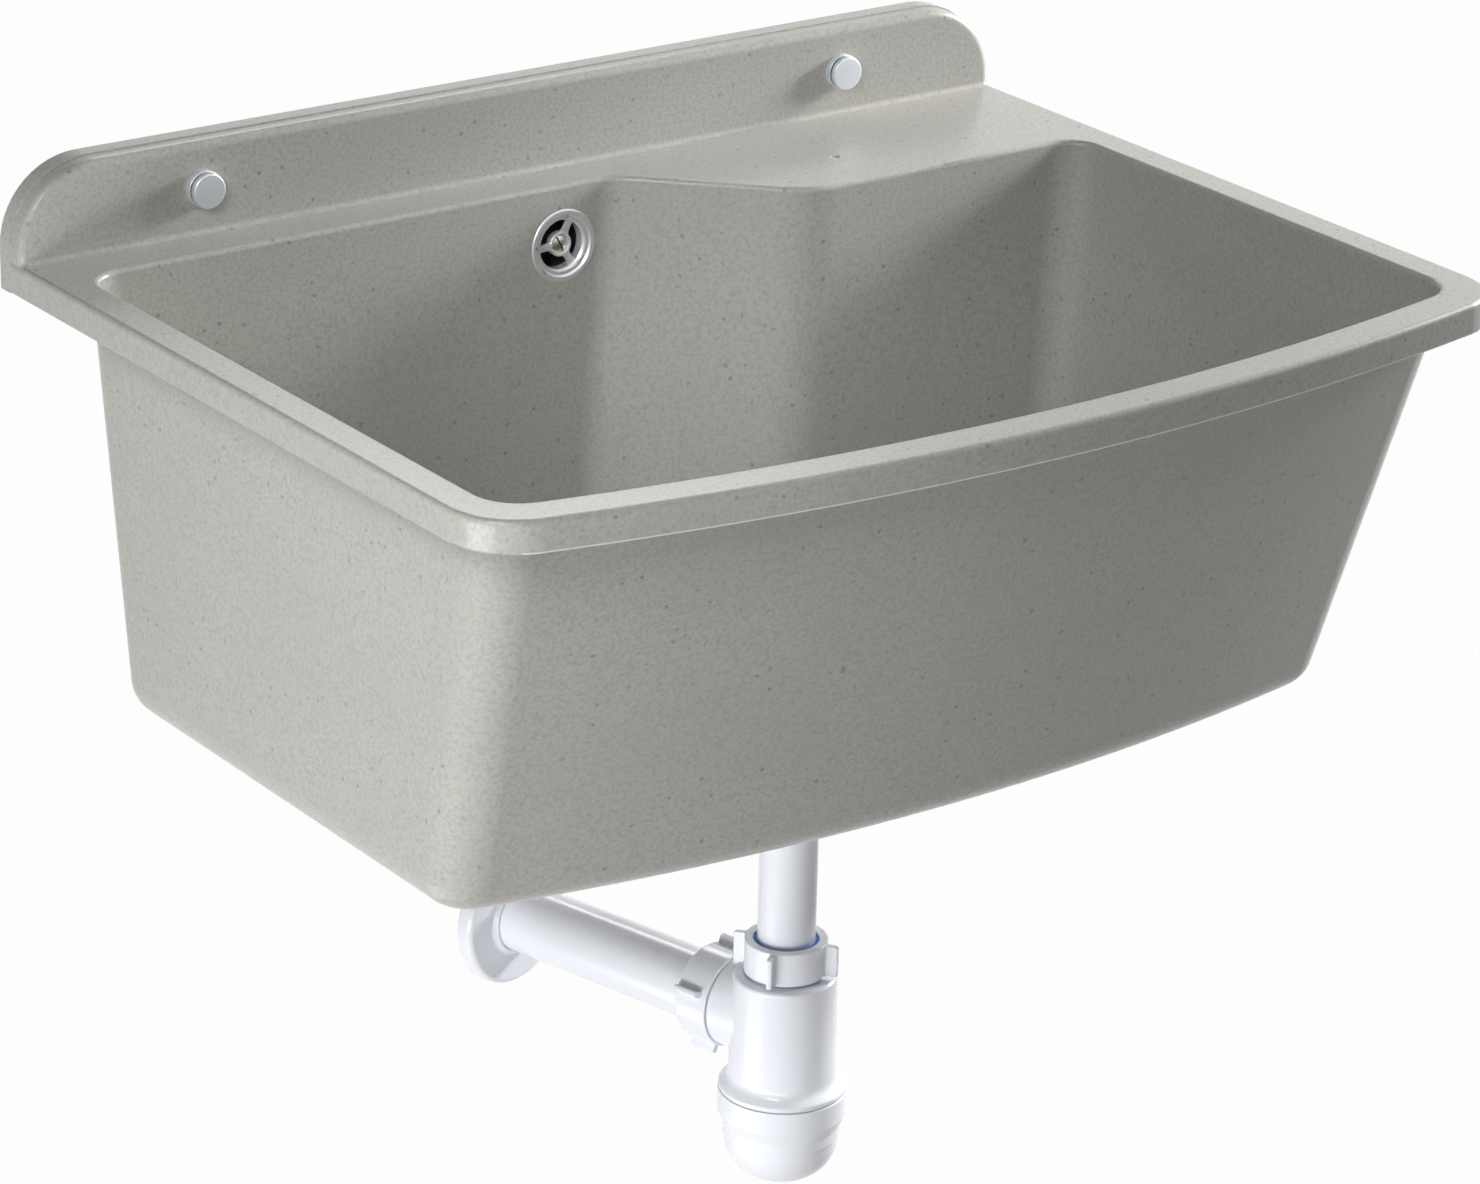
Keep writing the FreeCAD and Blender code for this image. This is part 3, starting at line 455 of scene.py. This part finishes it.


# Near-black plastic. It also paints shade in the slots of the screw heads and in the gap between
# each screw cap and its base.
black_plastic_and_painted_shade, dusk_shader, here = finish("dark_plastic_and_painted_shade")
flow = noise(here, 60, 3)
mixed(flow, (0.028, 0.029, 0.031, 1), (0.04, 0.041, 0.043, 1)).feeds(dusk_shader, "Base Color")
(0.35 + flow * 0.15).feeds(dusk_shader, "Roughness")
softened(here, dusk_shader, SOFT_EDGE)
# The rim at 9.3 mm fills the gap below the cap and, near black, paints the shade there.
spigot_with_gap_shade = ((3.3, 2.1), (7.5, 2.1), (7.5, 3.8), (9.3, 3.8), (9.3, 4.7, 0.1), (7.6, 4.7),
              (7.6, 6, 0.4), (6.1, 6, 0.2), (3.3, 3.2))
piece("cap_spigots_gap_shade", [stood(turned(spigot_with_gap_shade), foot, OUT_OF_WALL) for foot in SCREW_PLACES],
      black_plastic_and_painted_shade, "sink", "cap_bases")
screw_cap = ((0, 7.3), (7.9, 7.3, 0.3), (7.9, 5, 0.2), (9.6, 5, 0.3), (9.6, 8.5, 0.9), (0, 8.5))
for side, foot in zip(("left", "right"), SCREW_PLACES):
    piece(side + "_screw_cap", [stood(turned(screw_cap), foot, OUT_OF_WALL)], chrome,
          side + "_cap", side + "_cap")

# Overflow cover
# A chromed ring with three spokes and a hub, sunk in the rear wall of the bowl. Its slope
# runs down to a bright bead round the openings.
plated, plated_shader, here = finish("cover_chrome", Metallic=0.5, Coat_Weight=0.5,
                                     Coat_Roughness=0.06)
wiped = noise(here, 120, 3)
mixed(wiped, (0.80, 0.805, 0.83, 1), (0.85, 0.855, 0.875, 1)).feeds(plated_shader, "Base Color")
(0.24 + wiped * 0.1).feeds(plated_shader, "Roughness")
OVERFLOW = (0, -51.61, -60.1)
REAR_DRAFT = math.radians(1)
INTO_BOWL = (0, -math.cos(REAR_DRAFT), math.sin(REAR_DRAFT))
cover_ring = ((15.2, 0), (20.8, 0, 0.2), (20.8, 0.6, 0.4), (20.1, 1.1, 0.4), (17.9, 1.1, 0.5),
              (15.5, -1.5, 0.3), (14.9, -1.2, 0.3), (14, -2.3, 0.4), (14, -8, 0.2), (15.2, -8))
cover_hub = ((2.3, -6.4), (7, -6.4, 0.3), (7, -2.2, 0.6), (5.6, -2.2, 0.4), (5.6, -4.6),
             (2.3, -4.6))
SPOKE_STEPS = 10
SPOKE_FLARE = 1.1
SPOKE_SOFT = 0.5
SPOKE_BULGE = 0.15


def spoke(start, end, width, low, high, turn):
    """A bar with soft top edges that flares where it runs into the hub and the ring."""
    bar = bmesh.new()
    rings = []
    for k in range(SPOKE_STEPS + 1):
        t = k / SPOKE_STEPS
        half = width / 2 + SPOKE_FLARE * abs(2 * t - 1) ** 5
        flank = ((half, high - SPOKE_SOFT), (half - SPOKE_BULGE, high - SPOKE_BULGE),
                 (half - SPOKE_SOFT, high))
        section = ((-half, low), (half, low)) + flank
        section += tuple((-aside, height) for aside, height in reversed(flank))
        along = start + (end - start) * t
        rings.append([bar.verts.new((along, aside, height)) for aside, height in section])
    for ring, following in zip(rings, rings[1:]):
        for k in range(len(ring)):
            bar.faces.new((ring[k - 1], ring[k], following[k], following[k - 1]))
    bar.faces.new(rings[0])
    bar.faces.new(rings[-1])
    spin = Matrix.Rotation(math.radians(turn), 3, "Z")
    bmesh.ops.rotate(bar, cent=(0, 0, 0), matrix=spin, verts=bar.verts)
    return bar


SPOKE_COUNT = 3
SPOKE_TURN = 64
cover_shapes = [turned(cover_ring), turned(cover_hub, steps=64)]
cover_shapes += [spoke(6.6, 14.4, 4, -4.6, -2.5, SPOKE_TURN + 360 / SPOKE_COUNT * i)
                 for i in range(SPOKE_COUNT)]
piece("overflow_cover", [stood(shape, OVERFLOW, INTO_BOWL) for shape in cover_shapes],
      plated, "sink", "overflow_rosette")

# Slotted screws
# Nickel-plated pan heads with one slot. One holds the overflow cover to its elbow, the other
# holds the strainer to the brass insert of the waste.
nickel, nickel_shader, here = finish("nickel", Base_Color=(0.66, 0.63, 0.57, 1), Metallic=1.0)
(0.2 + noise(here, 300, 4) * 0.15).feeds(nickel_shader, "Roughness")
HEAD_EDGE = 0.25
SLOT_HALF = 0.09
SLOT_FLOOR = 0.35
HEAD_STRIPS = 18
STRIP_STEPS = 24
HEAD_WELD = 1e-4


def slotted_screw(shank_r, head_r, head_low, length, turn):
    """Domed head made in strips beside and inside its slot, which is painted dark as shade, and a
    plain shank.
    """
    crown = shank_r
    edge = HEAD_EDGE * crown
    ball_r = (head_r ** 2 + (crown - edge) ** 2) / (2 * (crown - edge))
    slot_half = SLOT_HALF * head_r
    asides = [math.cos(math.pi * k / HEAD_STRIPS) * head_r for k in range(HEAD_STRIPS // 2)]
    strips = [(-x, False) for x in asides if x > slot_half]
    strips += [(-slot_half, False), (-slot_half, True), (slot_half, True), (slot_half, False)]
    strips += [(-x, deep) for x, deep in reversed(strips[:-4])]
    head = bmesh.new()
    columns = []
    for x, deep in strips:
        column = []
        for k in range(STRIP_STEPS + 1):
            y = -math.cos(math.pi * k / STRIP_STEPS) * math.sqrt(head_r ** 2 - x ** 2)
            z = math.sqrt(ball_r ** 2 - x ** 2 - y ** 2) - math.sqrt(ball_r ** 2 - head_r ** 2)
            z += edge
            if deep:
                z = min(z, SLOT_FLOOR * crown)
            column.append(head.verts.new((y, x, head_low + z)))
        columns.append(column)
    slot_start = len(strips) // 2 - 2
    for i, (column, following) in enumerate(zip(columns, columns[1:])):
        for k in range(STRIP_STEPS):
            face = head.faces.new((column[k], column[k + 1], following[k + 1], following[k]))
            # The slot's faces take the second material, near black, as painted shade.
            face.material_index = int(slot_start <= i <= slot_start + 2)
    bmesh.ops.remove_doubles(head, verts=head.verts, dist=HEAD_WELD)
    brink = [e for e in head.edges if len(e.link_faces) == 1]
    skirt = bmesh.ops.extrude_edge_only(head, edges=brink)["geom"]
    for vert in (v for v in skirt if isinstance(v, bmesh.types.BMVert)):
        vert.co.z = head_low
    bmesh.ops.holes_fill(head, edges=[e for e in head.edges if len(e.link_faces) == 1])
    spin = Matrix.Rotation(math.radians(turn), 3, "Z")
    bmesh.ops.rotate(head, cent=(0, 0, 0), matrix=spin, verts=head.verts)
    tip, root = head_low - length, head_low + 0.2
    shank = turned(((0, tip), (shank_r, tip, 0.4), (shank_r, root), (0, root)), steps=32)
    return head, shank


SLOT_TURN = 115
DRAIN = (0, -275, -267.3)
UP = (0, 0, 1)
# The slots of both screws are painted near black as shade.
cover_screw = slotted_screw(2, 5.3, -4.6, 20.4, SLOT_TURN)
piece("overflow_cover_screw", [stood(shape, OVERFLOW, INTO_BOWL) for shape in cover_screw],
      nickel, "sink", "overflow_screw", black_plastic_and_painted_shade)
strainer_screw = slotted_screw(3, 5.5, -8.3, 20.5, SLOT_TURN)
piece("strainer_fixing_screw", [stood(shape, DRAIN, UP) for shape in strainer_screw],
      nickel, "sink", "strainer_screw", black_plastic_and_painted_shade)

# Overflow elbow and the black seals
# A dark plastic elbow with a barbed hose tail, drawn against the back of the bowl by the
# cover's screw with a flat black seal between. The waste and the trap have like seals.
rubber, rubber_shader, here = finish("black_rubber", Base_Color=(0.025, 0.025, 0.026, 1))
(0.55 + noise(here, 150, 3) * 0.25).feeds(rubber_shader, "Roughness")
coat(rubber, "overflow_gasket", "strainer_gasket", "waste_gasket", "waste_seal", "side_seal",
     "cup_gasket")
coat(black_plastic_and_painted_shade, "overflow_elbow")

# Strainer and the screw's insert
# A pressed stainless dish with round holes over the drain, and a turned brass insert moulded
# in the waste's hub.
pressed, pressed_shader, here = finish("stainless_dish", Base_Color=(0.60, 0.60, 0.59, 1),
                                       Metallic=1.0)
(0.24 + noise(here, 200, 4) * 0.16).feeds(pressed_shader, "Roughness")
softened(here, pressed_shader, SOFT_EDGE)
coat(pressed, "drain_strainer")
brass, brass_shader, here = finish("brass", Base_Color=(0.72, 0.54, 0.25, 1), Metallic=1.0)
(0.25 + noise(here, 400, 3) * 0.2).feeds(brass_shader, "Roughness")
coat(brass, "screw_insert")

# Waste, pipes and bottle
# Glossy white polypropylene with a cool tone: the funnel under the floor, the inlet pipe, the
# bottle with its side arm and the pipe to the wall.
PIPE_EDGE = 0.0015
white, white_shader, here = finish("white_plastic", Coat_Weight=0.3, Coat_Roughness=0.08)
flow = noise(here, 18, 1)
mixed(flow, (0.865, 0.89, 0.955, 1), (0.885, 0.906, 0.96, 1)).feeds(white_shader, "Base Color")
(0.2 + flow * 0.04).feeds(white_shader, "Roughness")
softened(here, white_shader, PIPE_EDGE)
coat(white, "waste_body", "inlet_pipe", "trap_body", "outlet_pipe")

# Union nuts
# White nuts with four thin wings. One holds the inlet pipe to the waste, one closes the
# bottle's neck on a blue seal, one closes the side arm.
gloss, gloss_shader, here = finish("white_nuts", Coat_Weight=0.3, Coat_Roughness=0.08)
flow = noise(here, 24, 1)
mixed(flow, (0.868, 0.893, 0.955, 1), (0.888, 0.909, 0.96, 1)).feeds(gloss_shader, "Base Color")
(0.18 + flow * 0.04).feeds(gloss_shader, "Roughness")
NUT_SHOULDER = 3
WING_COUNT = 4
WING_WIDTH = 3.4
WING_SHORT = 1.2


def union_nut(outer, thread, hole, tall, turn, reach, start):
    """A nut along Z, its thread open below, with wings that end a little short of its rims."""
    end = tall - WING_SHORT
    shoulder = tall - NUT_SHOULDER
    section = ((thread, 0, 0.4), (outer, 0, 0.7), (outer, start, 0, 0), (outer, start, 1.0, reach),
               (outer, end, 1.3, reach), (outer, end, 0, 0), (outer, tall, 1.1), (hole, tall, 0.7),
               (hole, shoulder), (thread, shoulder))
    return turned(section, steps=112, wings=WING_COUNT, wing_turn=turn, wing_width=WING_WIDTH)


def below_drain(drop):
    """A place on the upright axis of the drain and the trap."""
    return Vector(DRAIN) - Vector((0, 0, drop))


DOWN = (0, 0, -1)
ARM_TURN = math.radians(14.5)
TO_WALL = Vector((-math.sin(ARM_TURN), math.cos(ARM_TURN), 0))
OUTLET = below_drain(174)
SIDE_NUT_START = 35
waste_nut = union_nut(25.7, 21.2, 16.3, 18, 0, 6.8, 0.8)
piece("waste_union_nut", [stood(waste_nut, below_drain(34.5), DOWN)],
      gloss, "sink", "waste_nut")
trap_nut = union_nut(23, 20.3, 18, 19.5, 36, 6.8, 0.8)
piece("trap_union_nut", [stood(trap_nut, below_drain(144), UP)],
      gloss, "trap_collar", "trap_top_nut")
side_nut = union_nut(26.9, 23.7, 22, 21, 36.5, 5.4, 4)
piece("side_union_nut", [stood(side_nut, OUTLET + TO_WALL * SIDE_NUT_START, TO_WALL)],
      gloss, "trap", "side_nut")
blue, blue_shader, here = finish("blue_rubber", Base_Color=(0.03, 0.24, 0.78, 1))
(0.45 + noise(here, 150, 3) * 0.2).feeds(blue_shader, "Roughness")
coat(blue, "trap_top_seal")

# Wall cover
# A round white cover with a thick soft rim and a short collar. It slides along the outlet
# pipe to hide the hole in the wall.
wall_cover = ((20.3, 191.8, 0.2), (21.4, 191.8, 0.7), (23.6, 194.4, 2.4), (39, 195, 2.6),
              (41, 197, 2.4), (41, 205, 0.5), (39, 205, 0.3), (39, 197, 0.5), (20.3, 197))
piece("wall_cover", [stood(turned(wall_cover, steps=128), OUTLET, TO_WALL)],
      gloss, "cover", "wall_rosette")

# Cup
# The screw-on bottom of the bottle: a grip ring, a taper, a short land and a rounded bowl,
# with a threaded spigot that goes up inside the bottle.
CUP_BEND = math.radians(52)
CUP_FULLNESS = 0.8
CUP_FLAT = 0.3
CUP_STEPS = 14


def bowl_bend(radius, top, foot):
    """Points of the rounded bottom from its side to its flat, on one circle."""
    side = Vector((radius, top))
    middle = Vector((radius * math.sin(CUP_BEND),
                     top - (top - foot) * math.cos(CUP_BEND) ** CUP_FULLNESS))
    flat = Vector((radius * CUP_FLAT, foot))
    a, b = middle - side, flat - side
    centre = Vector((b.y * a.dot(a) - a.y * b.dot(b), a.x * b.dot(b) - b.x * a.dot(a)))
    centre /= 2 * (a.x * b.y - a.y * b.x)
    size = centre.length
    centre += side
    first, last = (math.atan2(p.y - centre.y, p.x - centre.x) for p in (side, flat))
    bends = [first + (last - first) * k / CUP_STEPS for k in range(CUP_STEPS + 1)]
    return [(centre.x + size * math.cos(bend), centre.y + size * math.sin(bend))
            for bend in bends]


cup = [(0, -51.5)] + bowl_bend(29.4, -27.6, -51.5)[::-1]
cup += [(29.4, -24.6, 1), (24.4, -21.1, 1), (24.4, 13), (26.9, 13, 0.5), (26.9, -1.6),
        (33.1, -1.6), (33.1, -0.6, 0.3), (35.6, -0.6, 0.7), (35.6, -14.1, 1.2),
        (32.6, -21.1, 1.5), (32.6, -27.6, 0.5), (31.9, -27.6)]
cup += bowl_bend(31.9, -27.6, -54)[1:] + [(0, -54)]
piece("trap_cup_shell", [stood(turned(cup, steps=128), below_drain(214), UP)],
      gloss, "cup", "trap_cup")
